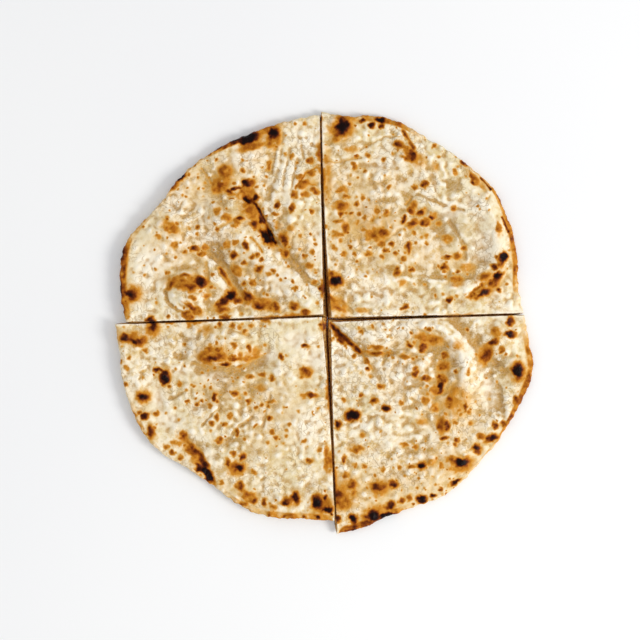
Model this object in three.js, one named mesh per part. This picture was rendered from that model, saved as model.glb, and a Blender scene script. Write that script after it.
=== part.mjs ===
// Naan bread: a round tandoor flatbread, cut into quarters that still lie together.
//
// Units are millimetres. +Z is up, +X is to the right and +Y is to the back of the bread as it lies.
// The bread is laid out from the crossing of its cuts, and the finished group is then moved so that
// its origin is the middle of its underside, on the surface that it rests on.
//
// Each quarter is one solid: a flat, floury underside that lifts at the baked rim, a top skin with
// folds and blown bubbles, a rounded rim and two straight cut faces.

import * as THREE from "three";

// Overall sizes
const MEAN_RADIUS = 97; // from the crossing to the rim, before each quarter's own outline
const THICKNESS = 4.2; // of the flat parts of the bread
const THINNEST = 2.2; // nowhere inside the rim is the bread thinner
const RIM_THICKNESS = 2.6; // at the baked edge
const RIM_WIDTH = 9; // over which the edge grows to the full thickness
const RIM_NOSE = 0.8; // how far the rounded edge stands out past the skins
const LIFT_WIDTH = 15; // over which the underside comes down from a lifted edge

// The mesh: cells along each side of a quarter, and cells up its walls
const CELLS = 25;
const WALL_CELLS = 2;

// Each cut runs out from the crossing. start is where its middle line begins, bearing is its direction
// in degrees anticlockwise from +X, bow is how far it bends to its left halfway, and the two gaps are
// its width at the crossing and at the rim.
const CUTS = {
  right: { start: [0, -1.0], bearing: 1.65, bow: 0, crossingGap: 1.9, rimGap: 0.6 },
  back: { start: [0.2, 0], bearing: 91.9, bow: 0.5, crossingGap: 3.4, rimGap: 0.5 },
  left: { start: [0, 1.0], bearing: 182.1, bow: 0.3, crossingGap: 0.8, rimGap: 0.5 },
  front: { start: [-0.4, 0], bearing: 272.65, bow: 0.2, crossingGap: 3.8, rimGap: 0.5 },
};
const GAP_CLOSES = 2.5; // the power by which a gap narrows on its way to the rim

// The quarters, anticlockwise. rim holds how far the edge stands out from MEAN_RADIUS at even steps from
// the first cut to the second, and lift how high its underside is off the surface, at the same cuts and
// halfway between them.
const QUARTERS = [
  {
    name: "quarter_back_right",
    cuts: [CUTS.right, CUTS.back],
    rim: [-5.5, -6.8, -4, -1.5, 0.8, 2.4, 1.3, 1, 0.3, 2, 1.6, -0.8, 1],
    lift: [0.8, 0.8, 1.2],
  },
  {
    name: "quarter_back_left",
    cuts: [CUTS.back, CUTS.left],
    rim: [-2.2, -2.8, -3.7, -3.6, -3, -2.4, -2, -2.8, -0.5, 3.2, 2.2, -0.2, -3.3],
    lift: [1.2, 2.2, 3.4],
  },
  {
    name: "quarter_front_left",
    cuts: [CUTS.left, CUTS.front],
    rim: [1.2, 0.6, 2.5, 3.7, 4.9, 3.8, 0.3, -0.9, 0.3, 1.9, 0.9, -0.5, -0.1],
    lift: [3.6, 2.4, 3],
  },
  {
    name: "quarter_front_right",
    cuts: [CUTS.front, CUTS.right],
    rim: [4.1, 2.2, 0.1, 0.2, 2.3, 2.3, 1.2, 1.7, 1.6, 2.3, 2.5, -2, -4.8],
    lift: [0.8, 0.6, 0.8],
  },
];

// Folds of the top skin. Each is a ridge (height over 0) or a crease (under 0) along a path. leftWidth
// and rightWidth are how far its slopes reach on either side of the path, looking along it.
const FOLDS = [
  // back left: the long fold that runs down to the crossing, with a crease along each foot of it
  {
    path: [[-49, 50], [-41, 41], [-30, 32], [-19, 24], [-9.5, 17], [-2, 12]],
    height: 3.4, leftWidth: 4.5, rightWidth: 12,
  },
  {
    path: [[-38, 58], [-32, 55], [-29, 47], [-25.5, 37], [-17, 27], [-9.5, 20.5], [-2, 15]],
    height: -1.6, leftWidth: 3.5, rightWidth: 3,
  },
  {
    path: [[-54, 33], [-49, 24], [-44.5, 16], [-38, 10], [-30, 6]],
    height: -1.4, leftWidth: 5, rightWidth: 4,
  },
  // back right: the lip of the big pillow over the rim, and the step at the pillow's near side
  {
    path: [[84, 50], [83.5, 40], [82.5, 27], [81.5, 22], [78, 17.5], [73.5, 14], [69.5, 12]],
    height: 2, leftWidth: 3, rightWidth: 12,
  },
  {
    path: [[22.5, 27], [36, 22], [55, 19.5], [68, 16]],
    height: -1, leftWidth: 4, rightWidth: 5,
  },
  {
    path: [[41, 86], [55, 77], [69, 66], [79, 55]],
    height: 1, leftWidth: 4, rightWidth: 5,
  },
  {
    path: [[2.5, 11], [8, 6.5], [12, 1.5]],
    height: -1, leftWidth: 3, rightWidth: 3,
  },
  // front left: the hollow round the near side of the long bubble, and the scorched crease by the rim
  {
    path: [[-69.5, -19], [-60, -23.5], [-48, -25.5], [-38, -23.5], [-30, -18]],
    height: -1.2, leftWidth: 3, rightWidth: 3.5,
  },
  {
    path: [[-67.5, -57], [-62, -63.5], [-58.5, -70.5], [-54, -77]],
    height: -1.2, leftWidth: 3, rightWidth: 3,
  },
  // front right: the creases that run out from the crossing, the curved fold and the hollow behind it
  {
    path: [[3, -3.5], [9.5, -10], [17, -15.5], [20, -21], [23, -25]],
    height: -2, leftWidth: 3.5, rightWidth: 3.5,
  },
  {
    path: [[18, -15.5], [24, -15.5], [32, -16.5]],
    height: -1.3, leftWidth: 3, rightWidth: 3,
  },
  {
    path: [[45.5, -2], [55, -4], [62, -8], [66, -13], [68, -21], [68.5, -30]],
    height: 3, leftWidth: 4.5, rightWidth: 11,
  },
  {
    path: [[59, 0], [66, -5], [71.5, -11.5], [77, -18.5], [82.5, -21.5], [85, -27], [83.5, -39], [84, -49]],
    height: -1.5, leftWidth: 4, rightWidth: 4,
  },
];

// Places where steam has lifted the top skin (rise over 0) or where it has sunk between them. reach is
// the half length of each along its own axes, turn turns those from +X, and a plateau of 1 gives a
// domed top, while more makes it flatter with steeper sides.
const BUBBLES = [
  // back left
  { at: [-66.5, 14], reach: [11, 11], rise: 2.6, plateau: 2 },
  { at: [-16, 57], reach: [11, 30], turn: 8, rise: 1.6, plateau: 1 },
  { at: [-44.5, 67], reach: [10, 9], rise: 1.5, plateau: 1 },
  { at: [-76, 36], reach: [15, 20], turn: -35, rise: 1, plateau: 1 },
  // back right
  { at: [50, 52], reach: [40, 36], turn: -25, rise: 1.6, plateau: 2 },
  { at: [55, 44.5], reach: [11, 9], turn: -40, rise: -1.6, plateau: 1 },
  { at: [70, 31], reach: [12, 9], turn: 40, rise: -1, plateau: 1 },
  { at: [6, 6], reach: [6, 5], rise: 1.2, plateau: 1 },
  // front left
  { at: [-52, -15.5], reach: [17, 11], rise: 3, plateau: 2 },
  { at: [-48, -58], reach: [9, 9], rise: -1.1, plateau: 1 },
  { at: [-40, -33], reach: [12, 8], rise: -0.9, plateau: 1 },
  { at: [-7, -54], reach: [8, 30], turn: 4, rise: 1, plateau: 1 },
  // front right
  { at: [82, -9.5], reach: [9, 8], rise: 1.4, plateau: 1 },
  { at: [55, -20], reach: [9, 12], rise: -1.2, plateau: 1 },
  { at: [23, -7], reach: [12, 6], turn: -20, rise: 1.5, plateau: 1 },
  { at: [41, -54], reach: [34, 30], rise: 1.2, plateau: 1 },
];

// The slow rise and fall of the whole bread: [height, wavelength, bearing of the waves in degrees].
const SWELLS = [[0.45, 74, 35], [0.35, 52, 110], [0.25, 37, 170]];

const DOUGH = new THREE.MeshStandardMaterial({ color: 0xe6d3a8, roughness: 0.75, metalness: 0 });

const { smoothstep, lerp, degToRad } = THREE.MathUtils;
const unit = (bearing) => new THREE.Vector2(1, 0).rotateAround(new THREE.Vector2(), degToRad(bearing));
const leftOf = (direction) => new THREE.Vector2(-direction.y, direction.x);

// Half of a cut's gap at a distance from the crossing.
function halfGap(cut, distance) {
  const left = Math.max(0, 1 - distance / MEAN_RADIUS);
  return lerp(cut.rimGap, cut.crossingGap, left ** GAP_CLOSES) / 2;
}

// How far a cut's middle line has bent to its left at a distance from the crossing.
const bend = (cut, distance) => cut.bow * Math.sin((Math.PI * Math.min(distance, MEAN_RADIUS)) / MEAN_RADIUS);

// Where the two cut faces of a quarter meet.
function cornerOf([first, second]) {
  const a = unit(first.bearing);
  const b = unit(second.bearing);
  const p = new THREE.Vector2(...first.start).addScaledVector(leftOf(a), halfGap(first, 0));
  const q = new THREE.Vector2(...second.start).addScaledVector(leftOf(b), -halfGap(second, 0));
  const along = q.clone().sub(p).cross(b) / a.cross(b);
  return p.addScaledVector(a, along);
}

// A smooth curve through values at even steps, read at a share of its length.
function evenly(values) {
  const curve = new THREE.SplineCurve(values.map((value, i) => new THREE.Vector2(i, value)));
  return (share) => curve.getPoint(share).y;
}

// The nearest point of a path: how far away it is, and whether that is to the left of the path.
function besidePath(path, x, y) {
  let best = { distance: Infinity, left: true };
  for (let i = 1; i < path.length; i++) {
    const [x0, y0] = path[i - 1];
    const dx = path[i][0] - x0;
    const dy = path[i][1] - y0;
    const share = THREE.MathUtils.clamp(((x - x0) * dx + (y - y0) * dy) / (dx * dx + dy * dy), 0, 1);
    const distance = Math.hypot(x - x0 - share * dx, y - y0 - share * dy);
    if (distance < best.distance) best = { distance, left: dx * (y - y0) - dy * (x - x0) > 0 };
  }
  return best;
}

function foldHeight(fold, x, y) {
  const { distance, left } = besidePath(fold.path, x, y);
  return fold.height * Math.exp(-((distance / (left ? fold.leftWidth : fold.rightWidth)) ** 2));
}

function bubbleHeight(bubble, x, y) {
  const centre = new THREE.Vector2(...bubble.at);
  const p = new THREE.Vector2(x, y).rotateAround(centre, -degToRad(bubble.turn ?? 0)).sub(centre);
  const out = Math.hypot(p.x / bubble.reach[0], p.y / bubble.reach[1]);
  return out < 1 ? bubble.rise * (1 - out ** (2 * bubble.plateau)) ** 2 : 0;
}

function swellHeight([height, wavelength, bearing], x, y) {
  return height * Math.sin((2 * Math.PI * unit(bearing).dot(new THREE.Vector2(x, y))) / wavelength);
}

// The height of the top skin above the underside, away from the rim.
function bodyHeight(x, y) {
  const relief = [
    ...FOLDS.map((fold) => foldHeight(fold, x, y)),
    ...BUBBLES.map((bubble) => bubbleHeight(bubble, x, y)),
    ...SWELLS.map((swell) => swellHeight(swell, x, y)),
  ];
  return Math.max(THINNEST, relief.reduce((sum, height) => sum + height, THICKNESS));
}

// Carries a unit square onto a quarter disc: the sides at 0 become its straight sides, the others its arc.
function squareToQuarterDisc(u, v) {
  const x = u * Math.sqrt(1 - (v * v) / 2);
  const y = v * Math.sqrt(1 - (u * u) / 2);
  return { out: Math.hypot(x, y), turn: Math.atan2(y, x) / (Math.PI / 2) };
}

// One quarter: a unit box bent to shape. Its u and v sides at 0 are the cut faces, those at 1 are the
// baked rim, and w runs from the underside to the top skin.
function quarterGeometry(quarter) {
  const [first, second] = quarter.cuts;
  const corner = cornerOf(quarter.cuts);
  const angle = THREE.MathUtils.euclideanModulo(second.bearing - first.bearing, 360);
  const rimAt = evenly(quarter.rim);
  const liftAt = evenly(quarter.lift);
  const sideways = (cut, side, distance) =>
    side * (halfGap(cut, distance) - halfGap(cut, 0)) + bend(cut, distance);

  function place(u, v, w) {
    const { out, turn } = squareToQuarterDisc(u, v);
    const radius = MEAN_RADIUS + rimAt(turn);
    const distance = out * radius;
    const direction = unit(first.bearing + turn * angle);
    const p = corner.clone().addScaledVector(direction, distance);
    p.addScaledVector(leftOf(unit(first.bearing)), (1 - turn) * sideways(first, 1, distance));
    p.addScaledVector(leftOf(unit(second.bearing)), turn * sideways(second, -1, distance));

    const inwards = radius - distance;
    const bottom = liftAt(turn) * (1 - smoothstep(inwards, 0, LIFT_WIDTH));
    const thickness = lerp(RIM_THICKNESS, bodyHeight(p.x, p.y), smoothstep(inwards, 0, RIM_WIDTH));
    if (u === 1 || v === 1) p.addScaledVector(direction, RIM_NOSE * 4 * w * (1 - w));
    return new THREE.Vector3(p.x, p.y, bottom + w * thickness);
  }

  const geometry = new THREE.BoxGeometry(1, 1, 1, CELLS, CELLS, WALL_CELLS);
  const position = geometry.getAttribute("position");
  for (let i = 0; i < position.count; i++) {
    const share = (value, cells) => Math.round((value + 0.5) * cells) / cells;
    const u = share(position.getX(i), CELLS);
    const v = share(position.getY(i), CELLS);
    const p = place(u, v, share(position.getZ(i), WALL_CELLS));
    position.setXYZ(i, p.x, p.y, p.z);
  }
  turnDiagonals(geometry.index, geometry.groups.at(-1));
  geometry.computeVertexNormals();
  return geometry;
}

// Splits the underside's cells along the same diagonal as the top's, which runs to the middle of the
// rim. There the outline goes straight through a cell's corner, and the other diagonal leaves a sliver.
function turnDiagonals(index, { start, count }) {
  const cellIndices = 6;
  for (let i = start; i < start + count; i += cellIndices) {
    const [a, b, d, , c] = index.array.slice(i, i + cellIndices);
    index.array.set([a, b, c, a, c, d], i);
  }
}

const bread = new THREE.Group();
for (const quarter of QUARTERS) {
  const mesh = new THREE.Mesh(quarterGeometry(quarter), DOUGH);
  mesh.name = quarter.name;
  bread.add(mesh);
}

// The origin goes to the middle of the bread's length and width, on the surface that it rests on.
const box = new THREE.Box3().setFromObject(bread);
const middle = box.getCenter(new THREE.Vector3());
bread.position.set(-middle.x, -middle.y, -box.min.z);

const naan = new THREE.Group();
naan.add(bread);

export default naan;
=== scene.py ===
"""A round naan, blistered and scorched by the oven, cut crosswise into four quarters that lie together.

Each quarter starts as a copy of its CAD solid, so its size, place and folds are the frame's. The copy is
subdivided and its top skin is blown into small blisters by one node tree. Then the quarter's own creases
and scorches are pressed and baked into it, and three finishes read the result: the top crust, the floury
underside and the crumb of the cut faces.
"""

from math import pi, radians

import bmesh
import bpy
import numpy as np
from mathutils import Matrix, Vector
from mathutils.kdtree import KDTree


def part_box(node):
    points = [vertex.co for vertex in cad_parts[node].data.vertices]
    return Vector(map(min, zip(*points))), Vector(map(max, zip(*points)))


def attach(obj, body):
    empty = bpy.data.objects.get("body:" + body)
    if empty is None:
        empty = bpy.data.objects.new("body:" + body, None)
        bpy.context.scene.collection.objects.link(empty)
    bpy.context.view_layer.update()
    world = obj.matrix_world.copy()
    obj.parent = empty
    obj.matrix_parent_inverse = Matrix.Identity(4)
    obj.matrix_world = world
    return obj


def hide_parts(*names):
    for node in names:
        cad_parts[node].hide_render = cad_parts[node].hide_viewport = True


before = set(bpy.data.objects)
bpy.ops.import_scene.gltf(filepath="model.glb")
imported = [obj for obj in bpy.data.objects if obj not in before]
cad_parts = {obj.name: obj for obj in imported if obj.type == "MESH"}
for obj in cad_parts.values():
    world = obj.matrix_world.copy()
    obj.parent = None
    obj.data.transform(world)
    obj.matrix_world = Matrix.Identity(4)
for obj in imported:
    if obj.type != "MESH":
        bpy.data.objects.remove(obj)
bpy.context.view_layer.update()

MM = 0.001
SUBDIVISIONS = 3  # cells of about 4 mm become cells of about 0.5 mm
SAME_POINT = 0.01 * MM

# How dark a scorch is baked, on the scale that the crust's colours follow.
CHARRED = 1.2
SEARED = 0.88
BROWNED = 0.66
GOLDEN = 0.47
TANNED = 0.28
BLUSHED = 0.17
FRECKLED = 0.48

# The skin between the quarter's own marks, in millimetres.
BLISTERING = {
    "Blister Size": 5.2,
    "Blister Height": 0.7,
    "Pebble Size": 3.4,
    "Pebble Height": 0.45,
    "Lump Size": 4.6,
    "Lump Height": 1.9,
    "Wrinkle Size": 9.0,
    "Wrinkle Depth": 0.3,
    "Swell Size": 17.0,
    "Swell Height": 2.0,
    "Stir Size": 5.0,
    "Stir": 0.8,
    "Ragged Size": 3.4,
    "Ragged Depth": 0.5,
}

TORN = 1.2  # how far the top edges of the cuts are torn back, in shares of the ragged depth
MARKS_STIRRED = (3.0, 2.0)  # how wide and how far the outlines of the marks wander, in millimetres
SPOT_FALLOFF = 1.9  # how sharply a spot ends
SCORCH_RISE = 0.35  # how high the skin swells in a wide scorch, in millimetres
WIDE_SCORCH = 5  # in millimetres

# What is baked into each quarter. A scorch is (across, back, length, width, turn): its middle in
# hundredths of the quarter's box along X and Y, its size in millimetres, and how far its length is turned
# from +X, in degrees. A freckle is (across, back, size), and a bubble is as a scorch, with its height
# after that. A crease is (points, width, depth, degree): its path in the same hundredths, how wide and
# deep it is in millimetres, and how dark it is baked. A negative depth is a raised welt. A fold is a wide
# crease or welt that is not baked. The shade patches make the dough darker and olive: painted shade in
# its valleys and under its ridges. Where the dough is floury it is paler, and where it is freckled the fine
# freckles stand closer. These places are as a scorch. rim holds how far the edge is baked, at even steps
# from the quarter's clockwise cut to its other cut.
QUARTERS = {
    "quarter_back_left": {
        CHARRED: [
            (63.5, 88.5, 9, 4.5, 15), (75.5, 91, 5.5, 5.5, 0), (-0.5, 33, 7, 4, 90), (-0.5, 16, 9, 4, 90),
            (72, 41, 8, 4, -50), (54.5, 13, 4.5, 4.5, 0), (30, 70, 5, 3.5, 45),
        ],
        SEARED: [
            (6, 13.5, 5.5, 4.5, 0), (57, 88, 6, 3, 20), (15.5, 1, 4, 3.5, 0), (62, 67, 3.5, 3, 0),
            (47, 83.5, 15.5, 2, 31), (11.5, 50.5, 3, 2.5, 0), (57.5, 64.5, 6, 1.5, 20), (51, 10, 7, 3, 30),
            (63.5, 59, 8, 2.5, -35), (66.5, 60, 4.5, 3, 0), (69.5, 49.5, 5, 2, -60),
            (39.5, 20, 7, 4.5, -25),
        ],
        BROWNED: [
            (35.5, 17, 7, 4, -20), (1.5, 6, 6, 3, 90), (64, 67, 5, 3.5, 20), (52, 2.5, 5, 2.5, 0),
            (34.5, 2.5, 4, 3, 0), (91, 5, 4, 3, 0), (63, 12.5, 8, 4.5, -25), (69, 8, 5, 4, 0),
            (26.5, 66, 6.5, 3.5, 48), (77.5, 56.5, 4, 2.5, 90), (84.5, 54.5, 4.5, 2.5, 80),
            (66, 47.5, 4.5, 4, 0), (1.5, 33, 16, 5, 90), (76, 7.5, 5.5, 4, -20), (85.5, 8, 4.5, 4, 0),
            (59.5, 49.5, 3, 3, 0), (62, 37, 5, 2.5, 90), (56, 32, 4, 3.5, -30), (68, 25.5, 4.5, 4, 0),
            (34.5, 8, 6, 2, -35), (37, 35.5, 4, 3, 0), (48.5, 66, 5, 4, 0), (99.5, 16, 7, 2.5, 90),
            (58.5, 10.5, 4, 3, 0), (53.5, 62.5, 5, 3, -30), (81, 39, 5, 3, 90), (81, 33.5, 4, 4, 0),
        ],
        GOLDEN: [
            (76, 52, 4, 2, 0), (73, 75.5, 6, 2.5, 80), (93.5, 77.5, 4, 3, 0), (88, 70, 4, 3, 0),
            (90, 66, 7, 3, 30), (96, 63, 5, 3, -30), (94, 72, 5, 3, 0), (86, 60, 3, 3, 0), (33, 4, 5, 3, 0),
            (52.5, 37.5, 4, 4, 0), (53, 50, 5, 4, 0), (48, 54, 4, 4, 0), (80, 41, 6, 5, 0),
            (75, 87.5, 8, 8, 0), (65, 84.5, 14, 4, 15), (25.5, 45.5, 9, 5, -30), (31, 18.5, 14, 6, -8),
            (93, 27, 4, 4, 0), (40.5, 33, 4, 3, 0), (52, 72, 8, 7, 60), (49, 66, 9, 7, 30),
            (62, 62, 9, 7, 20), (64, 54, 9, 8, -50), (99, 80, 18, 4, 90), (43, 13, 4, 3, 0),
            (57, 47, 4, 4, 0), (36, 12, 4, 3, 0), (82, 2.5, 24, 3, 2), (69, 9, 14, 6, -8),
            (50.5, 6, 8, 4, 0), (37, 6, 9, 4, -30), (57.5, 25, 7, 4, -50), (6.5, 13.5, 9, 8, 0),
            (45, 84, 16, 3.5, 31),
        ],
        TANNED: [(51, 68, 13, 10, 60), (68, 50, 14, 6, -60), (77.5, 47, 5, 4, 0), (84, 45, 5, 4, 0)],
        BLUSHED: [(93, 67, 14, 10, 20)],
        "freckles": [
            (84, 80, 2.5), (85.5, 61.5, 3), (91, 61.5, 3.5), (19, 41, 3), (27, 37.5, 3.5), (57, 38, 2.5),
            (61.5, 28.5, 2.5), (65.5, 19, 3), (45.5, 23, 2.5), (32, 33.5, 2.5), (42, 36.5, 3),
            (88, 41.5, 2.5), (91, 32, 2.5), (85, 20, 2), (79, 20.5, 2.5), (95.5, 19, 2.5), (85.5, 16, 2),
            (75.5, 25, 2.5), (73, 23, 2.5), (69.5, 30, 2), (65.5, 31.5, 2.5),
        ],
        "creases": [
            ([(60.5, 60), (67, 56.5), (70, 51), (72.5, 45), (76, 38.5)], 1.2, 1.2, 1.25),
            ([(24, 16), (27, 21), (32, 22.5), (37, 20.5), (40, 17)], 1.8, -0.3, 0.75),
            ([(49, 26), (53, 20), (56, 16)], 1.6, 0.4, 0.9), ([(40.5, 73.5), (45, 67)], 0.8, 0.5, 0.35),
            ([(49, 45), (55, 48.5), (59, 51)], 0.8, 0.6, 0.3), ([(65, 40.5), (70, 34)], 1.0, 0.6, 0.55),
            ([(42.5, 28.5), (43.5, 18.5), (42.5, 11)], 1.2, 0.6, 0.35),
            ([(24.5, 18.5), (22.5, 15), (23, 11.5), (25.5, 8), (29, 5.5), (34, 5)], 0.7, 0.9, 0.24),
            ([(76, 38.5), (83.5, 31), (88.5, 24.5), (99, 15.5)], 1.0, 0.5, 0.16),
            ([(43, 33.5), (50, 28.5), (55, 23), (61, 10)], 1.6, 1.0, 0.16),
            ([(80, 90.5), (78.5, 76), (73.5, 61.5)], 1.2, 0.7, 0.14),
            ([(83.5, 83.5), (80, 66.5)], 1.0, 0.6, 0.12), ([(87, 78.5), (83.5, 61.5)], 1.0, 0.6, 0.12),
            ([(76.5, 83.5), (74.5, 71.5)], 0.9, 0.6, 0.12), ([(88.5, 88), (90, 79.5)], 0.9, 0.5, 0.1),
            ([(98, 76), (91, 71), (86, 64)], 0.8, 0.4, 0.5), ([(96, 66), (88, 68)], 0.8, 0.3, 0.5),
        ],
        "folds": [
            ([(50, 47), (62, 37), (76, 23), (92, 10)], 6, -1.8),
            ([(44, 36), (51, 26), (57, 14), (60, 5)], 3, 1.2),
            ([(62, 60), (70, 48), (80, 34), (95, 18)], 2.4, 1.0), ([(74, 90), (72, 66)], 4, 0.9),
            ([(40, 78), (46, 64), (52, 54)], 4, 0.8), ([(20, 52), (36, 46), (50, 50)], 5, -0.9),
        ],
        "bubbles": [
            (33, 13, 20, 18, 0, 1.5), (33.5, 10, 4.5, 3.5, 0, 0.6), (37.5, 12, 4, 3.5, 0, 0.5),
            (41, 13, 3, 3, 0, 0.3),
        ],
        "painted_shade": [
            (50, 27, 22, 9, -52), (88, 26, 26, 8, -45), (53, 72, 14, 10, 60), (45, 15, 20, 6, 90),
            (73, 60, 6, 8, 0),
        ],
        "floury": [
            (92, 86, 10, 9, 0), (75, 24, 20, 6, -45), (97, 37, 14, 6, 90), (60, 78, 12, 6, 20),
            (27, 57, 10, 7, 40), (14, 28, 16, 14, 90), (43, 41, 10, 6, 0), (85, 72, 12, 7, -75),
        ],
        "freckled": [
            (80, 36, 26, 38, 90), (66, 22, 30, 20, -35), (33, 35, 36, 26, 0), (50, 68, 34, 26, 0),
            (31, 62, 34, 22, 45), (50, 45, 22, 18, 0), (62, 78, 24, 10, 20),
        ],
        "rim": [0.1, 0.0, 0.2, 0.65, 0.5, 0.05, 0.25, 0.05, 0.05, 0.3, 0.6, 0.65, 0.2],
    },
    "quarter_back_right": {
        CHARRED: [
            (10.5, 92.5, 7.5, 6, 90), (89.5, 29.5, 4, 4, 0), (7.5, 17.5, 5.5, 4.5, 0),
            (29, 95.5, 5, 3, -20),
        ],
        SEARED: [
            (45, 78.5, 4.5, 4, 90), (80, 12, 6.5, 3, 15), (-1, 95.5, 2.5, 2.5, 0), (20.5, 95, 2.5, 2.5, 0),
            (25, 93, 2.5, 2.5, 0), (87, 20, 6, 3, 40), (40.5, 47.5, 3.5, 2.5, 90),
        ],
        BROWNED: [
            (30, 92.5, 2.5, 2.5, 0), (38, 83.5, 4.5, 4, 0), (75, 67, 6.5, 3, -55), (87, 13.5, 3, 3, 0),
            (41.5, 5, 3.5, 3, 0), (70.5, 74.5, 4.5, 2.5, -45), (85, 24, 3.5, 3, 0),
            (63.5, 8.5, 3.5, 2.5, 90), (4.5, 21, 4, 4, 0), (45, 45.5, 6, 3, 30), (43, 33.5, 5, 3, 90),
            (37.5, 22.5, 4.5, 3, 90), (60.5, 24.5, 4, 2.5, 0), (49, 50.5, 4, 3, 30), (44, 23, 3, 3, 0),
            (51, 64.5, 3.5, 3.5, 0), (62, 29, 4.5, 2, 0), (88, 27, 5, 4, 90), (51, 46, 5, 3.5, 0),
            (76, 10.5, 7, 3, 10), (42, 77.5, 4, 3, 0), (54.5, 49, 4, 2.5, 0), (44, 51.5, 4, 2.5, -30),
            (85, 17, 7, 3.5, 35),
        ],
        GOLDEN: [
            (12, 43.5, 5, 4, 90), (30.5, 41, 6, 3, 0), (23, 31, 4.5, 2.5, 0), (10.5, 92, 11, 11, 0),
            (41.5, 81, 7.5, 4, -35), (87, 42.5, 6.5, 3, 90), (1, 67, 14.5, 2, 90), (12, 58.5, 5, 2, 0),
            (45, 54, 5, 4, 45), (80, 19.5, 8, 4, 20), (10, 54, 8, 5, 0), (6, 17.5, 9, 8, 0),
            (27, 40, 12, 6, 0), (66.5, 18.5, 7, 3, 0), (67, 30, 4, 4, 0), (9, 46.5, 5, 3, 0),
            (30, 35.5, 4, 3, 0), (62, 38, 5, 4, 0), (10, 62, 6, 4, 0), (7.5, 40, 4, 4, 0),
            (7.5, 88, 4, 6, 0), (5, 8.5, 8, 4, -50), (9, 4.5, 8, 3.5, -30),
        ],
        TANNED: [
            (82, 14, 14.5, 6.5, 30), (66, 17, 9, 5, 0), (45, 76, 6, 4, 0), (96, 43, 28, 7, 88),
            (3, 68, 30, 5, 90), (47.5, 75.5, 8, 7, 0), (77, 66, 16, 3.5, -50), (60, 92, 12, 3, -40),
            (8, 6, 11, 9, 0), (72, 24, 9, 6, 0), (69, 1, 14, 2.5, 0), (10, 0.5, 10, 2.5, 0),
            (40, 16.5, 5, 4, 0), (20, 3.5, 8, 3, 0), (15, 81.5, 8, 4, 0), (56, 73, 5, 5, 0),
        ],
        BLUSHED: [(24, 46, 32, 22, 0)],
        "freckles": [
            (56, 83, 2.5), (57.5, 77.5, 2), (25, 48, 2.5), (17.5, 46, 2.5), (20.5, 42, 2.5),
            (32, 32.5, 2.5), (35, 35.5, 2.5), (36.5, 31, 2.5), (40.5, 28.5, 2.5), (70, 33.5, 2.5),
            (10, 50, 2.5), (15, 50, 2), (21, 48.5, 2.5), (27.5, 51.5, 3), (32, 50.5, 3), (10, 40, 2.5),
            (6.5, 33.5, 2.5), (15, 34, 2), (11, 31, 2.5), (16.5, 30.5, 2.5), (46, 63, 2.5),
            (51.5, 39.5, 2.5), (45.5, 41, 2.5), (65.5, 70, 2.5), (20.5, 58, 3), (17.5, 55, 2.5),
            (33, 63, 2.5), (16, 74, 2.5), (21.5, 71, 2.5),
        ],
        "creases": [
            ([(0, 76.5), (7, 75), (19.5, 77.5)], 0.7, 0.5, 0.3),
            ([(19.5, 81.5), (31.5, 87.5), (39, 87.5)], 0.7, 0.5, 0.15),
            ([(41.5, 54.5), (44.5, 58)], 0.7, 0.7, 0.5),
            ([(25, 33), (35, 39.5), (44, 46.5)], 0.7, 0.4, 0.12),
            ([(40.5, 90), (45.5, 81.5)], 1.6, 0.2, 0.6), ([(78.5, 67.5), (83.5, 62)], 1.0, 0.2, 1.1),
            ([(87, 59), (89, 55)], 1.0, 0.2, 1.0), ([(89, 48.5), (92, 41.5)], 1.0, 0.2, 0.9),
            ([(87.5, 22), (83.5, 18), (78.5, 15.5), (73.5, 11.5)], 1.3, 1.2, 0.7),
            ([(36.5, 21), (54, 19.5), (69, 18.5), (83.5, 21)], 1.0, 0.4, 0.15),
            ([(3.5, 10.5), (9, 8.5), (13, 5), (15, 2.5)], 0.9, 0.8, 0.3),
            ([(49, 74), (53, 64.5), (57, 57)], 0.9, -0.45, 0.0),
            ([(53, 76.5), (58.5, 64.5)], 0.9, -0.45, 0.0), ([(58.5, 74), (62.5, 66)], 0.8, -0.4, 0.0),
            ([(47, 60), (58, 55), (70, 52)], 0.9, 0.6, 0.06),
            ([(63, 46), (69, 38), (71, 28)], 1.0, 0.6, 0.06),
        ],
        "folds": [
            ([(40, 66), (45, 54), (56, 46), (60, 38)], 4, 1.1),
            ([(4, 22), (30, 18), (50, 20), (66, 14), (80, 18)], 3.5, -1.0),
            ([(10, 12), (34, 12), (56, 12), (70, 8)], 3.5, 0.6), ([(88, 24), (90, 40), (84, 60)], 5, -1.2),
            ([(76, 24), (80, 40), (74, 56)], 5, 0.9), ([(10, 72), (30, 74), (46, 66)], 4, 0.5),
        ],
        "bubbles": [
            (26, 44, 36, 24, 0, 1.0), (6, 4, 11, 9, -30, 1.2), (17, 3, 7, 6, 0, 1.0), (24, 5, 5, 4, 0, 0.6),
            (33, 9, 4, 4, 0, 0.5),
        ],
        "painted_shade": [
            (62, 44, 26, 20, -40), (78, 34, 18, 18, 0), (66, 64, 10, 9, 0), (22, 4, 20, 7, 0),
            (9, 6, 12, 10, 0), (43, 48, 12, 16, 0), (50, 19, 42, 6, 0), (37.5, 58, 9, 8, 0),
            (8, 82, 9, 7, 0),
        ],
        "floury": [
            (82, 35, 12, 16, -30), (77, 53, 14, 10, -50), (93.5, 3, 9, 5, 0), (29, 10, 14, 7, 0),
            (31, 74, 10, 7, 0), (64, 53, 9, 8, 0), (20.5, 51, 7, 6, 0), (22, 56, 8, 5, 0),
        ],
        "freckled": [(22, 42, 40, 34, 0), (42, 34, 30, 22, 0), (62, 27, 26, 12, 0), (20, 65, 36, 20, 0)],
        "rim": [0.0, 0.1, 0.35, 0.4, 0.3, 0.25, 0.15, 0.0, 0.0, 0.2, 0.4, 0.2, 0.0],
    },
    "quarter_front_left": {
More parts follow.
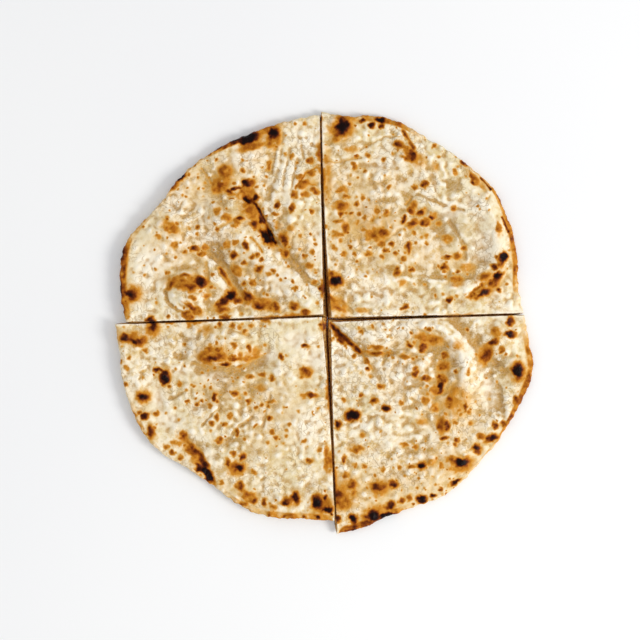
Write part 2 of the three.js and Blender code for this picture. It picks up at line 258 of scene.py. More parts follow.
        CHARRED: [(23, 69.5, 5, 4, 80), (42.5, 22.5, 8, 3.5, -60), (92, 9, 6, 4.5, 90), (97, 6, 4, 3, 0)],
        SEARED: [
            (57, 26, 4.5, 3.5, 0), (41, 28, 5, 2.5, -55), (82, 11.5, 6, 3.5, 90), (13.5, 60.5, 4.5, 4, 0),
            (95.5, 12, 2.5, 2.5, 0), (17.5, 95.5, 7, 3.5, 90), (10.5, 88, 5, 4.5, 0), (92.5, 2, 2.5, 2, 0),
            (98.5, 3.5, 2, 2, 0), (5, 90, 4, 3, 0), (20.5, 73.5, 5, 2.5, -15), (22.5, 72, 5, 4, 60),
            (38.5, 26.5, 5, 3, -55), (13.5, 51.5, 4, 3.5, 0), (58, 31.5, 3, 3, 0), (77.5, 9, 4, 3, 0),
        ],
        BROWNED: [
            (85.5, 2, 2.5, 2, 0), (16.5, 44, 6, 4, 90), (31, 42, 4.5, 3.5, 0), (51, 28.5, 4, 2.5, 90),
            (61, 4, 2, 2, 0), (69.5, 3, 2, 2, 0), (77, 2.5, 2, 2, 0), (50, 76.5, 3.5, 2.5, 0),
            (57, 16.5, 5, 4, 90), (68, 9, 4, 2.5, 90), (75.5, 80.5, 3, 2.5, 90), (63.5, 10, 3, 3, 0),
            (61, 84.5, 3.5, 2.5, 90), (86.5, 85.5, 3.5, 2.5, 0), (45.5, 61, 4, 2.5, 90),
            (70, 50.5, 3, 2.5, 0), (55.5, 43, 4, 2, 90), (87, 72.5, 5.5, 5, 0), (89, 61.5, 7, 3, 0),
            (95, 95.5, 4, 4, 0), (47, 84, 3, 2.5, 0), (51, 77, 3, 3, 0), (45, 79.5, 6, 3, 0),
            (54, 80, 4, 3, 0), (54.5, 62.5, 4, 3, 0), (47, 39.5, 4, 3, 0), (79.5, 11, 5, 3, 0),
        ],
        GOLDEN: [
            (42.5, 83.5, 5, 4, 0), (48, 80.5, 6, 4, 0), (43.5, 79.5, 12, 6, 0), (67, 71.5, 4, 2.5, 0),
            (61, 70.5, 5, 2.5, 0), (71, 58.5, 4, 2, 0), (72, 7, 4, 3, 0), (28, 38, 5, 3, 0),
            (12.5, 88.5, 6, 5, 0), (94, 8.5, 10, 9, 0), (59, 8.5, 4, 3, 0), (36, 98, 12, 3, 0),
            (61.5, 12, 8, 5, -30), (96, 31, 14, 2.5, 90), (7, 89.5, 11, 6, 0), (50, 99.3, 6, 2, 0),
            (68.5, 98, 5, 2.5, 0), (62, 80, 8, 3, 15), (98, 66, 26, 4, 90), (98, 29, 10, 4, 90),
            (25, 97.5, 5, 3, 0), (42.5, 99, 5, 2, 0), (17.5, 95, 9, 7, 90), (55, 26, 9, 7, 0),
            (13, 61, 7, 6, 0), (36, 33, 14, 6, -50),
        ],
        TANNED: [
            (45.5, 82, 16, 10, 0), (41.5, 93.5, 8, 5, 0), (61, 80, 9, 6, 25), (66.5, 65, 6, 5, 0),
            (64, 82, 7, 5, 40), (97.5, 68, 18, 2.5, 90),
        ],
        "freckles": [
            (7, 80, 2.5), (5.5, 75, 2.5), (3, 78, 2), (71.5, 7.5, 2.5), (54.5, 86, 2.5), (56.5, 79.5, 3),
            (14, 83.5, 3), (9, 52, 2.5), (19, 52.5, 2.5), (23.5, 36.5, 3), (54, 33, 2.5), (63, 24, 2.5),
            (48.5, 18.5, 2.5), (33.5, 96, 2.5), (53.5, 95.5, 3), (61.5, 95.5, 3), (39.5, 72.5, 2),
            (29.5, 67, 2.5), (43, 56.5, 2.5), (92.5, 35, 2.5), (88.5, 29.5, 3), (26.5, 33.5, 2.5),
            (30, 31.5, 2.5), (71.5, 70, 3), (40.5, 65.5, 2), (37.5, 57.5, 2), (64.5, 55.5, 2),
            (50, 47, 2.5), (64, 46.5, 2), (48, 96, 2.5), (59, 92.5, 2.5), (34.5, 66.5, 2), (33.5, 58.5, 2),
            (61, 58.5, 2.5), (67, 57, 2.5), (46.5, 50.5, 2.5), (52.5, 51.5, 2.5), (73.5, 41, 2.5),
            (86, 39, 2.5), (71.5, 43.5, 2.5), (58.5, 40, 2),
        ],
        "creases": [
            ([(31, 40.5), (34.5, 36.5), (38.5, 33), (40, 28.5), (41.5, 24.5), (44.5, 19.5)], 2.2, 0.8, 1.15),
            ([(36, 77), (43, 75), (51, 73.5), (56.5, 74.5), (63.5, 79)], 1.3, 0.8, 0.2),
            ([(24.5, 59.5), (32, 63.5)], 0.6, 0.5, 0.1),
            ([(39.5, 46.5), (44, 52), (47.5, 55)], 0.6, 0.6, 0.15),
            ([(51.5, 39.5), (56.5, 46.5), (62, 50.5)], 0.7, 0.6, 0.12),
            ([(67, 46.5), (70.5, 61.5)], 0.7, 0.6, 0.1),
        ],
        "folds": [
            ([(38, 73), (50, 70), (60, 73), (66, 78)], 2.4, 0.7),
            ([(66, 96), (68, 84), (64, 66), (56, 50)], 4, 0.5), ([(72, 90), (80, 70), (82, 46)], 6, -0.9),
            ([(24, 46), (40, 56), (54, 54)], 4, 0.6), ([(30, 48), (44, 40), (52, 30)], 5, -0.9),
        ],
        "bubbles": [
            (46, 82, 30, 14, 0, 1.2), (25, 55, 5, 4.5, 0, 0.6), (53.5, 62.5, 5, 5, 0, 0.8),
            (80.5, 48, 5, 4, 0, 0.6), (74, 73.5, 6, 5, 0, 0.7), (22, 79, 5, 4, 0, 0.5),
            (51, 43, 7, 5, 40, 0.6),
        ],
        "painted_shade": [
            (50, 74, 32, 4, 4), (65, 78, 10, 5, 25), (50, 62, 24, 12, 10), (58, 42, 14, 10, 40),
            (46, 32, 16, 8, -50),
        ],
        "floury": [
            (83, 88, 14, 9, 0), (91, 79, 10, 12, 0), (88, 46, 12, 18, 0), (24, 50, 14, 8, -30),
            (20, 60, 8, 8, 0), (29.5, 74, 10, 5, 0), (71, 81, 7, 5, 0), (44, 70, 8, 4, 0),
            (37, 56.5, 7, 5, 0),
        ],
        "freckled": [(46, 82, 30, 16, 0), (50, 64, 36, 18, 0), (70, 52, 34, 34, 0), (44, 14, 60, 14, -25)],
        "rim": [0.25, 0.05, 0.05, 0.1, 0.2, 0.1, 0.05, 0.1, 0.1, 0.2, 0.3, 0.3, 0.3],
    },
    "quarter_front_right": {
        CHARRED: [
            (11, 54.5, 5.5, 4.5, 0), (21, 8.5, 6, 6, 0), (92, 74.5, 6.5, 4.5, 90), (44.5, 31.5, 4, 3.5, 0),
            (45, 16.5, 4, 3.5, 0), (11, 7.5, 4, 4, 0), (64, 33, 7.5, 4, 10), (28, 8.5, 9, 2.5, 12),
        ],
        SEARED: [
            (71.5, 39.5, 4.5, 3.5, 0), (79, 44, 6.5, 3, 20), (54, 67.5, 6, 3, 90), (3.5, 50.5, 4, 3.5, 90),
            (31, 23, 4, 4, 0), (3.5, 7.5, 3.5, 3, 90), (88, 97, 4, 3.5, 90), (57, 49.5, 4.5, 2.5, 90),
            (27.5, 57.5, 4, 3.5, 0), (29.5, 13.5, 5, 4, 30), (61.5, 24, 5, 2.5, 30), (87.5, 91, 6, 3, 0),
            (50.5, 18, 3, 2, 0),
        ],
        BROWNED: [
            (35, 15.5, 3, 3, 0), (54, 21, 2, 2, 0), (72.5, 37.5, 2, 2, 0), (85, 50.5, 3, 3, 0),
            (24, 22, 6, 5, 0), (46.5, 71, 4.5, 2.5, 0), (38.5, 17, 3, 3, 0), (81, 50, 4, 2.5, 90),
            (91, 61, 5, 3.5, 90), (18, 79, 2.5, 2.5, 0), (18, 75, 2.5, 2, 0), (58.5, 61, 6, 3, 90),
            (55.5, 44, 4.5, 2, 0), (21.5, 61, 3.5, 3, 0), (80, 87.5, 5, 3, 35), (38.5, 86, 3.5, 3, 0),
            (45, 84, 3, 3, 0), (41.5, 73.5, 4, 3, 90), (66, 58, 4, 2, 90), (6.5, 34.5, 5, 2, 90),
            (11, 23, 4, 4, 0), (4, 18.5, 5, 4, 0), (0.5, 23, 16, 5, 90), (77, 81, 8, 4, 60),
            (46, 85.5, 4, 3, 0), (4.5, 89.5, 7, 3, -45), (55, 71, 4.5, 4, 0),
        ],
        GOLDEN: [
            (56.5, 81.5, 4, 3, 90), (54, 31.5, 3.5, 2, 90), (36.5, 41, 4.5, 2.5, 0), (13, 39, 8, 3.5, 0),
            (40, 31, 5, 2.5, 0), (22.5, 82, 8, 2.5, 0), (4, 19, 10, 7, 60), (0.5, 28, 24, 3, 90),
            (24, 21.5, 9, 8, 0), (48, 89, 14, 5, -10), (6, 15, 9, 8, 0), (76, 83, 9, 5, 60),
            (51, 57.5, 5, 4, 0), (46.5, 61.5, 4, 4, 0), (55.5, 76.5, 6, 5, 0), (51, 66, 4, 5, 0),
            (58.5, 34.5, 5, 4, 0), (81, 92, 5, 5, 0), (25, 67.5, 4, 3, 0), (54.5, 50, 5, 9, 0),
            (22, 85, 8, 3, 0), (36.5, 81, 5, 3, 0), (74, 45, 4, 4, 0), (21, 9, 12, 9, 20),
            (92, 74, 10, 8, 90), (64, 32, 13, 7, 10),
        ],
        TANNED: [
            (8.5, 20, 16, 12, 90), (61.5, 61, 18, 14, 90), (30, 8, 30, 7, 15), (45, 51.5, 6, 5, 0),
            (62, 86, 5, 5, 0), (49.5, 33.5, 6, 5, 0),
        ],
        "freckles": [
            (62.5, 56.5, 2.5), (61, 51, 2.5), (1, 89, 2), (67, 74.5, 2.5), (41.5, 40, 2.5),
            (7.5, 27.5, 3.5), (11, 19.5, 3), (84, 84, 3), (15, 63.5, 2.5), (6.5, 61, 2.5),
            (15.5, 45.5, 2.5), (25.5, 30, 3), (20.5, 95, 2), (15, 92, 3), (35, 60, 2.5), (62, 43, 2.5),
            (17, 31, 2.5), (12, 32, 2.5),
        ],
        "creases": [
            ([(0, 96), (5, 91), (10, 87), (14.5, 83)], 1.7, 1.4, 0.85),
            ([(14.5, 83), (20.5, 82.5), (30.5, 82.5)], 1.3, 0.8, 0.45),
            ([(16, 82), (20.5, 75.5)], 0.8, 0.5, 0.35), ([(23.5, 6), (29.5, 8.5)], 1.2, 0.2, 1.1),
            ([(7.5, 2), (12.5, 2.5)], 1.0, 0.2, 0.9),
            ([(60, 96.5), (67.5, 90), (73, 84), (79, 79.5), (86, 73.5)], 1.8, 0.8, 0.1),
            ([(82.5, 68), (83.5, 61), (85, 54.5)], 1.4, 0.6, 0.08),
            ([(45, 96), (55, 93), (62, 86), (65, 76), (63, 68)], 1.6, -0.6, 0.0),
        ],
        "folds": [
            ([(40, 97), (55, 94), (63, 86), (67, 74), (66, 62)], 3.6, -1.1),
            ([(62, 97), (72, 86), (78, 76), (80, 58)], 4, 1.2),
            ([(46, 92), (54, 80), (55, 70), (52, 54)], 5, 1.0), ([(12, 76), (26, 62), (30, 44)], 6, -0.9),
            ([(84, 92), (88, 70), (80, 44)], 5, -0.9), ([(0, 96), (8, 89), (15, 83), (26, 82)], 4, 0.9),
        ],
        "bubbles": [
            (46, 78, 9, 8, 0, 0.9), (47.5, 58, 8, 7, 0, 0.8), (40.5, 74.5, 6, 5, 0, 0.8),
            (49, 35, 5, 5, 0, 0.6), (41, 65, 5, 5, 0, 0.5), (36.5, 80, 6, 4, 0, 0.6),
        ],
        "painted_shade": [
            (52, 86, 26, 12, 10), (44, 72, 12, 24, 90), (78, 80, 14, 30, 35), (51, 55, 10, 9, 0),
            (81, 62, 9, 22, 0), (45, 43, 18, 14, 50),
        ],
        "floury": [
            (3, 83, 16, 7, 90), (35, 73, 10, 9, 0), (33, 93, 14, 6, 0), (29, 57, 9, 7, 0),
            (77, 67, 6, 14, 20), (52, 8, 20, 5, 20), (16, 50, 10, 5, 0),
        ],
        "freckled": [(44, 76, 36, 36, 0), (60, 60, 30, 30, 0), (50, 30, 50, 26, 30), (20, 20, 30, 20, 0)],
        "rim": [0.25, 0.6, 0.35, 0.1, 0.05, 0.1, 0.1, 0.2, 0.4, 0.45, 0.45, 0.25, 0.05],
    },
}


def colour(name):
    """A colour written as six hexadecimal digits, as the linear colour that a socket takes."""
    shares = [int(name[i:i + 2], 16) / 255 for i in (0, 2, 4)]
    linear = [s / 12.92 if s <= 0.04045 else ((s + 0.055) / 1.055) ** 2.4 for s in shares]
    return (*linear, 1.0)


class Tree:
    """A node tree that is being built. Each method adds a node and gives the socket that it puts out."""

    def __init__(self, tree):
        self.tree = tree

    def feed(self, socket, value):
        if isinstance(value, bpy.types.NodeSocket):
            self.tree.links.new(value, socket)
        else:
            socket.default_value = value

    def node(self, kind, inputs=None, **settings):
        made = self.tree.nodes.new(kind)
        for name, value in settings.items():
            setattr(made, name, value)
        for name, value in (inputs or {}).items():
            self.feed(made.inputs[name], value)
        return made

    def math(self, operation, *values):
        made = self.node("ShaderNodeMath", operation=operation)
        for socket, value in zip(made.inputs, values):
            self.feed(socket, value)
        return made.outputs[0]

    def total(self, *values):
        result = values[0]
        for value in values[1:]:
            result = self.math("ADD", result, value)
        return result

    def scaled(self, vector, size):
        inputs = {"Vector": vector, "Scale": size}
        return self.node("ShaderNodeVectorMath", inputs, operation="SCALE").outputs[0]

    def vectors(self, operation, a, b):
        return self.node("ShaderNodeVectorMath", {0: a, 1: b}, operation=operation).outputs[0]

    def step(self, value, low, high, start=0.0, end=1.0):
        """A smooth step from start to end while the value goes from low to high."""
        inputs = {"Value": value, "From Min": low, "From Max": high, "To Min": start, "To Max": end}
        return self.node("ShaderNodeMapRange", inputs, interpolation_type="SMOOTHSTEP").outputs[0]

    def noise(self, place, size, detail=2.0, roughness=0.5):
        """Noise whose lumps are about size across, in the place's own units."""
        inputs = {"Vector": place, "Scale": self.per(size), "Detail": detail, "Roughness": roughness}
        return self.node("ShaderNodeTexNoise", inputs)

    def cells(self, place, size, feature="F1"):
        """Round cells about size across, the same all the way down."""
        inputs = {"Vector": place, "Scale": self.per(size)}
        return self.node("ShaderNodeTexVoronoi", inputs, feature=feature, voronoi_dimensions="2D")

    def per(self, size):
        return self.math("DIVIDE", 1.0, size) if isinstance(size, bpy.types.NodeSocket) else 1.0 / size

    def mix(self, share, a, b, blend_type="MIX"):
        made = self.node("ShaderNodeMix", data_type="RGBA", blend_type=blend_type)
        for socket, value in zip((made.inputs[0], made.inputs[6], made.inputs[7]), (share, a, b)):
            self.feed(socket, value)
        return made.outputs[2]

    def colours(self, value, stops):
        """A colour ramp through stops of (place, colour)."""
        made = self.node("ShaderNodeValToRGB", {"Fac": value})
        ramp = made.color_ramp
        ramp.elements.remove(ramp.elements[1])
        for i, (place, name) in enumerate(stops):
            stop = ramp.elements[0] if i == 0 else ramp.elements.new(place)
            stop.position = place
            stop.color = colour(name)
        return made.outputs[0]


def new_group(name, kind, sockets):
    """A node group with its sockets, and its input and output nodes' sockets to build between."""
    group = bpy.data.node_groups.new(name, kind)
    for direction, socket, socket_type, default in sockets:
        made = group.interface.new_socket(socket, in_out=direction, socket_type="NodeSocket" + socket_type)
        if default is not None:
            made.default_value = default
    tree = Tree(group)
    return tree, tree.node("NodeGroupInput").outputs, tree.node("NodeGroupOutput").inputs


# The dough's relief


def stirred(tree, place, stir_size, stir):
    """The place moved about by a slow noise, so that what is drawn there has uneven outlines."""
    swirl = tree.noise(place, stir_size).outputs["Color"]
    centred = tree.vectors("SUBTRACT", swirl, (0.5, 0.5, 0.5))
    return tree.vectors("ADD", place, tree.scaled(centred, tree.math("MULTIPLY", stir, 2.0)))


def named(tree, name, kind="FLOAT"):
    return tree.node("GeometryNodeInputNamedAttribute", {"Name": name}, data_type=kind).outputs[0]


def stored(tree, mesh, name, value, kind="FLOAT"):
    inputs = {"Geometry": mesh, "Name": name, "Value": value}
    return tree.node("GeometryNodeStoreNamedAttribute", inputs, data_type=kind, domain="POINT").outputs[0]


def domes(tree, cells, reach, power):
    """A dome in each cell, 1 at its middle and 0 at reach, of a height of its own."""
    out = tree.math("DIVIDE", cells.outputs["Distance"], reach)
    dome = tree.math("MAXIMUM", tree.math("SUBTRACT", 1.0, tree.math("POWER", out, 2.0)), 0.0)
    own = tree.node("ShaderNodeSeparateXYZ", {"Vector": cells.outputs["Color"]}).outputs[0]
    return tree.math("MULTIPLY", tree.math("POWER", dome, power), tree.step(own, 0.35, 1.0))


def dough_relief(tree, place, sizes):
    """How far the skin stands off its smooth shape, in millimetres."""
    moved = stirred(tree, place, sizes["Stir Size"], sizes["Stir"])
    blisters = domes(tree, tree.cells(moved, sizes["Blister Size"]), 0.55, 2.0)
    pebbles = domes(tree, tree.cells(moved, sizes["Pebble Size"]), 0.65, 2.0)
    lumps = tree.noise(place, sizes["Lump Size"], 1.0).outputs[0]
    swell = tree.noise(place, sizes["Swell Size"], 1.0).outputs[0]
    wrinkles = tree.math("SUBTRACT", tree.noise(moved, sizes["Wrinkle Size"]).outputs[0], 0.5)
    wrinkles = tree.step(tree.math("ABSOLUTE", wrinkles), 0.0, 0.1, -1.0, 0.0)
    wrinkles = tree.math("MULTIPLY", wrinkles, tree.step(swell, 0.5, 0.62))
    rising = tree.step(tree.noise(place, sizes["Swell Size"], 3.0).outputs[0], 0.36, 0.6, 0.55, 1.0)
    small = tree.total(
        tree.math("MULTIPLY", blisters, sizes["Blister Height"]),
        tree.math("MULTIPLY", pebbles, sizes["Pebble Height"]),
        tree.math("MULTIPLY", tree.math("SUBTRACT", lumps, 0.5), sizes["Lump Height"]),
    )
    return tree.total(
        tree.math("MULTIPLY", small, rising),
        tree.math("MULTIPLY", tree.math("SUBTRACT", swell, 0.5), sizes["Swell Height"]),
        tree.math("MULTIPLY", wrinkles, sizes["Wrinkle Depth"]),
    )


def blistered_dough(finishes):
    """The tree that turns a quarter's plain cells into blistered dough with its three finishes."""
    sockets = [("INPUT", "Dough", "Geometry", None), ("OUTPUT", "Crust", "Geometry", None)]
    sockets += [("INPUT", name, "Float", value) for name, value in BLISTERING.items()]
    tree, given, result = new_group("blistered_dough", "GeometryNodeTree", sockets)
    inputs = {"Mesh": given["Dough"], "Level": SUBDIVISIONS, "Edge Crease": named(tree, "crease_edge")}
    mesh = tree.node("GeometryNodeSubdivisionSurface", inputs).outputs[0]
    mesh = tree.node("GeometryNodeSetShadeSmooth", {"Geometry": mesh}).outputs[0]

    place = tree.scaled(tree.node("GeometryNodeInputPosition").outputs[0], 1 / MM)
    relief = dough_relief(tree, place, {name: given[name] for name in BLISTERING})
    skin = named(tree, "skin")
    lift = tree.math("MULTIPLY", tree.math("MULTIPLY", relief, skin), MM)
    upwards = tree.node("ShaderNodeCombineXYZ", {"Z": lift}).outputs[0]
    ragged = tree.noise(place, given["Ragged Size"], 3.0).outputs[0]
    outwards = tree.math("MULTIPLY", tree.math("SUBTRACT", ragged, 0.5), named(tree, "rim"))
    outwards = tree.math("MULTIPLY", tree.math("MULTIPLY", outwards, 5.0), given["Ragged Depth"])
    normal = tree.node("GeometryNodeInputNormal").outputs[0]
    sideways = tree.scaled(normal, tree.math("MULTIPLY", outwards, MM))
    torn = tree.math("MULTIPLY", tree.math("MULTIPLY", ragged, given["Ragged Depth"]), skin)
    inwards = tree.scaled(named(tree, "inwards", "FLOAT_VECTOR"), tree.math("MULTIPLY", torn, TORN * MM))
    offset = tree.vectors("ADD", tree.vectors("ADD", upwards, sideways), inwards)
    mesh = stored(tree, mesh, "relief", relief)
    shift = tree.vectors("SUBTRACT", stirred(tree, place, *MARKS_STIRRED), place)
    mesh = stored(tree, mesh, "stir", shift, "FLOAT_VECTOR")
    mesh = tree.node("GeometryNodeSetPosition", {"Geometry": mesh, "Offset": offset}).outputs[0]

    mesh = tree.node("GeometryNodeRealizeInstances", {"Geometry": mesh}).outputs[0]
    for number, finish in enumerate(finishes):
        chosen = tree.node("FunctionNodeCompare", data_type="INT", operation="EQUAL")
        tree.feed(chosen.inputs[2], named(tree, "finish", "INT"))
        tree.feed(chosen.inputs[3], number)
        inputs = {"Geometry": mesh, "Selection": chosen.outputs[0], "Material": finish}
        mesh = tree.node("GeometryNodeSetMaterial", inputs).outputs[0]
    tree.feed(result["Crust"], mesh)
    return tree.tree


TOP, UNDERSIDE, CUT = range(3)
STEEP = 0.75  # a face whose normal rises more than this lies flat
NARROWEST_CROSSING = 0.7 * MM
MEETS = 0.49  # the share of a gap that the bottom of each cut face takes up


def face_kind(face, outwards):
    """Whether a face of the plain quarter is top crust, underside or cut. The baked rim is top crust."""
    if face.normal.z > STEEP:
        return TOP
    if face.normal.z < -STEEP:
        return UNDERSIDE
    return CUT if face.normal.dot(outwards) < 0 else TOP


def neighbours(name):
    """A finder of the nearest point of the other quarters."""
    points = [v.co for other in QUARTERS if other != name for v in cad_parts[other].data.vertices]
    tree = KDTree(len(points))
    for i, point in enumerate(points):
        tree.insert(point * Vector((1, 1, 0)), i)
    tree.balance()
    return tree


def plain_quarter(name, crossing):
    """A copy of a CAD quarter as square cells, with its cut edges kept sharp and its parts named.

    The knife has dragged the bottom of each cut towards the next quarter, so that the two nearly meet.
    """
    low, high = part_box(name)
    outwards = ((low + high) / 2 - crossing) * Vector((1, 1, 0))
    bm = bmesh.new()
    bm.from_mesh(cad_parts[name].data)
    bmesh.ops.remove_doubles(bm, verts=bm.verts, dist=SAME_POINT)
    bmesh.ops.join_triangles(bm, faces=bm.faces, angle_face_threshold=pi, angle_shape_threshold=pi)
    finish = bm.faces.layers.int.new("finish")
    crease = bm.edges.layers.float.new("crease_edge")
    skin = bm.verts.layers.float.new("skin")
    rim = bm.verts.layers.float.new("rim")
    inwards = bm.verts.layers.float_vector.new("inwards")
    for face in bm.faces:
        face[finish] = face_kind(face, outwards)
    for edge in bm.edges:
        kinds = [face[finish] for face in edge.link_faces]
        sharp = CUT in kinds and (kinds[0] != kinds[1] or edge.calc_face_angle() > radians(50))
        edge[crease] = 1.0 if sharp else 0.0
    others = neighbours(name)
    dragged = {}
    for vert in bm.verts:
        cuts = [face.normal for face in vert.link_faces if face[finish] == CUT]
        if not cuts:
            continue
        facing = sum(cuts, Vector()) * Vector((1, 1, 0)) / len(cuts)
        kinds = {face[finish] for face in vert.link_faces}
        drag = 0.0 if TOP in kinds else 1.0 if UNDERSIDE in kinds else 0.5
        gap = others.find(vert.co * Vector((1, 1, 0)))[2]
        at_crossing = facing.length < 0.9 and gap > NARROWEST_CROSSING
        way = (crossing - vert.co) * Vector((1, 1, 0)) * 2 if at_crossing else facing.normalized() * gap
        dragged[vert] = way * MEETS * drag
        vert[inwards] = -facing.normalized()
    for vert, shift in dragged.items():
        vert.co += shift
    for vert in bm.verts:
        kinds = {face[finish] for face in vert.link_faces}
        flat_top = any(face.normal.z > STEEP for face in vert.link_faces)
        vert[skin] = 1.0 if flat_top else 0.0 if UNDERSIDE in kinds else 0.5
        walls = [face for face in vert.link_faces if face[finish] == TOP and abs(face.normal.z) < STEEP]
        vert[rim] = 1.0 if walls and CUT not in kinds else 0.0
    mesh = bpy.data.meshes.new(name + "_dough")
    bm.to_mesh(mesh)
    bm.free()
    return mesh


def blister(mesh, tree):
    """The dough mesh after the blistering tree, as a plain mesh."""
    made = bpy.data.objects.new(mesh.name, mesh)
    bpy.context.scene.collection.objects.link(made)
    modifier = made.modifiers.new("blistering", "NODES")
    modifier.node_group = tree
    for item in tree.interface.items_tree:
        if item.in_out == "INPUT" and item.name in BLISTERING:
            modifier[item.identifier] = BLISTERING[item.name]
    depsgraph = bpy.context.evaluated_depsgraph_get()
    result = bpy.data.meshes.new_from_object(
        made.evaluated_get(depsgraph), preserve_all_data_layers=True, depsgraph=depsgraph
    )
    bpy.data.objects.remove(made)
    return result


# What the oven did to each quarter

# The height is evened out over about 1 mm, then 2 mm and then 6 mm. The differences show what lies in a
# small dent and what in a valley.
CLOSE_ROUNDS = 4
FINE_ROUNDS = 14
WIDE_ROUNDS = 130

# The baked edge is a wide soft band and a narrow line, each this many rounds of evening out wide.
BAND_ROUNDS = 60
LINE_ROUNDS = 8
RIM_FULL = 0.45  # the share of rim in a point's surroundings at which it is baked in full


def read(mesh, name):
    data = mesh.attributes[name].data
    values = np.zeros(len(data), np.float32)
    data.foreach_get("value", values)
    return values


def write(mesh, name, values):
    data = mesh.attributes.new(name, "FLOAT", "POINT").data
    data.foreach_set("value", values.astype(np.float32))


class Quarter:
    """A blistered quarter's points in millimetres, for pressing and baking marks into it."""

    def __init__(self, name, mesh):
        self.mesh = mesh
        self.marks = QUARTERS[name]
        low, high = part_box(name)
        self.low = np.array(low[:2]) / MM
        self.side = np.array((high - low)[:2]) / MM
        self.points = np.zeros((len(mesh.vertices), 3), np.float32)
        mesh.vertices.foreach_get("co", self.points.ravel())
        self.points /= MM
        stir = np.zeros((len(mesh.vertices), 3), np.float32)
        mesh.attributes["stir"].data.foreach_get("vector", stir.ravel())
        self.plan = self.points[:, :2].astype(float)
        self.stirred = self.plan + stir[:, :2]
        self.skin = read(mesh, "skin").astype(float)
        self.edges = np.zeros((len(mesh.edges), 2), np.int32)
        mesh.edges.foreach_get("vertices", self.edges.ravel())

    def at(self, across, back):
        """A place in hundredths of the quarter's box, in millimetres."""
        return self.low + self.side * (np.array((across, back)) / 100)

    def spot(self, across, back, length, width, turn=0):
        """How near each point is to an oval spot: 1 at its middle, a half at its edge, then a soft halo."""
        offset = self.stirred - self.at(across, back)
        c, s = np.cos(radians(turn)), np.sin(radians(turn))
        along = (offset[:, 0] * c + offset[:, 1] * s) / (length / 2)
        beside = (offset[:, 1] * c - offset[:, 0] * s) / (width / 2)
        return 1 / (1 + (along ** 2 + beside ** 2) ** SPOT_FALLOFF)

    def path(self, points, width):
        """How near each point is to a path: 1 on it, and little beyond its half width."""
        places = [self.at(*point) for point in points]
        wavering = (self.plan + self.stirred) / 2
        nearest = np.full(len(self.plan), np.inf)
        for start, end in zip(places, places[1:]):
            run = end - start
            offset = wavering - start
            share = np.clip(offset @ run / (run @ run), 0, 1)
            gap = offset - share[:, None] * run
            nearest = np.minimum(nearest, (gap ** 2).sum(axis=1))
        return np.exp(-nearest / width ** 2)

    def spread(self, values, rounds):
        """The values evened out over their neighbours that many times."""
        a, b = self.edges.T
        count = np.bincount(self.edges.ravel(), minlength=len(values))
        for _ in range(rounds):
            total = np.bincount(a, values[b], len(values)) + np.bincount(b, values[a], len(values))
            values = (values + total / count) / 2
        return values


def pile(levels):
    """Overlapping degrees of baking as one, a little over the darkest."""
    power = 4
    return sum(level ** power for level in levels) ** (1 / power)


def rim_baking(quarter, crossing):
    """The band of the quarter that the oven's wall has baked, by how far round the rim it is."""
    offset = quarter.plan - np.array(crossing[:2]) / MM
    angle = np.arctan2(offset[:, 1], offset[:, 0])
    middle = quarter.low + quarter.side / 2 - np.array(crossing[:2]) / MM
    start = np.floor(np.arctan2(middle[1], middle[0]) / (pi / 2)) * (pi / 2)
    share = np.clip(((angle - start + pi) % (2 * pi) - pi) / (pi / 2), 0, 1)
    degrees = quarter.marks["rim"]
    degree = np.interp(share, np.linspace(0, 1, len(degrees)), degrees)
    rim = read(quarter.mesh, "rim").astype(float)
    band = np.clip(quarter.spread(rim, BAND_ROUNDS) / RIM_FULL, 0, 1)
    line = np.clip(quarter.spread(rim, LINE_ROUNDS) / RIM_FULL, 0, 1)
    uneven = np.clip(0.6 + read(quarter.mesh, "relief"), 0.0, 1.3)
    return 0.6 * degree * band ** 1.5 + (0.06 + 0.55 * degree) * line ** 4 * uneven


def bake(name, mesh, crossing):
    """Presses the creases and scorches of a quarter into its mesh and leaves them as attributes."""
    quarter = Quarter(name, mesh)
    marks = quarter.marks
    top = np.clip(quarter.skin * 2 - 1, 0, 1)
    levels, lift = [np.zeros(len(top))], np.zeros(len(top))
    for degree in (CHARRED, SEARED, BROWNED, GOLDEN, TANNED, BLUSHED):
        for across, back, length, width, turn in marks.get(degree, []):
            near = quarter.spot(across, back, length, width, turn)
            levels.append(degree * near)
            if degree > TANNED:
                lift += SCORCH_RISE * min(width, WIDE_SCORCH) / WIDE_SCORCH * near
    for *mark, height in marks["bubbles"]:
        lift += height * quarter.spot(*mark)
    for across, back, size in marks["freckles"]:
        levels.append(FRECKLED * quarter.spot(across, back, size, size))
    uneven = np.clip(0.7 + 0.7 * read(mesh, "relief"), 0.3, 1.3)
    for points, width, depth in marks["folds"]:
        lift -= depth * quarter.path(points, width)
    for points, width, depth, degree in marks["creases"]:
        near = quarter.path(points, width)
        levels.append(degree * near ** 2 * uneven)
        lift -= depth * near
    levels.append(rim_baking(quarter, crossing))
    quarter.points[:, 2] += (lift * top).astype(np.float32)
    mesh.vertices.foreach_set("co", (quarter.points * MM).ravel())

    close = quarter.spread(quarter.points[:, 2].astype(float), CLOSE_ROUNDS)
    fine = quarter.spread(close, FINE_ROUNDS)
    wide = quarter.spread(fine, WIDE_ROUNDS)
    write(mesh, "baked", pile(levels))
    write(mesh, "hollow", (fine - close) * top)
    write(mesh, "sunken", (wide - fine) * top)
    for kind in ("painted_shade", "floury", "freckled"):
        write(mesh, kind, pile([quarter.spot(*mark) for mark in marks[kind]]))
    for spare in ("stir", "rim", "relief", "inwards", "finish"):
        mesh.attributes.remove(mesh.attributes[spare])
    mesh.update()


# Finishes

CRUST_COLOURS = [
    (0.0, "e4c487"), (0.14, "d6a44f"), (0.26, "c68428"), (0.38, "aa6513"), (0.49, "864207"),
    (0.61, "5c2503"), (0.74, "330e02"), (0.9, "120302"),
]


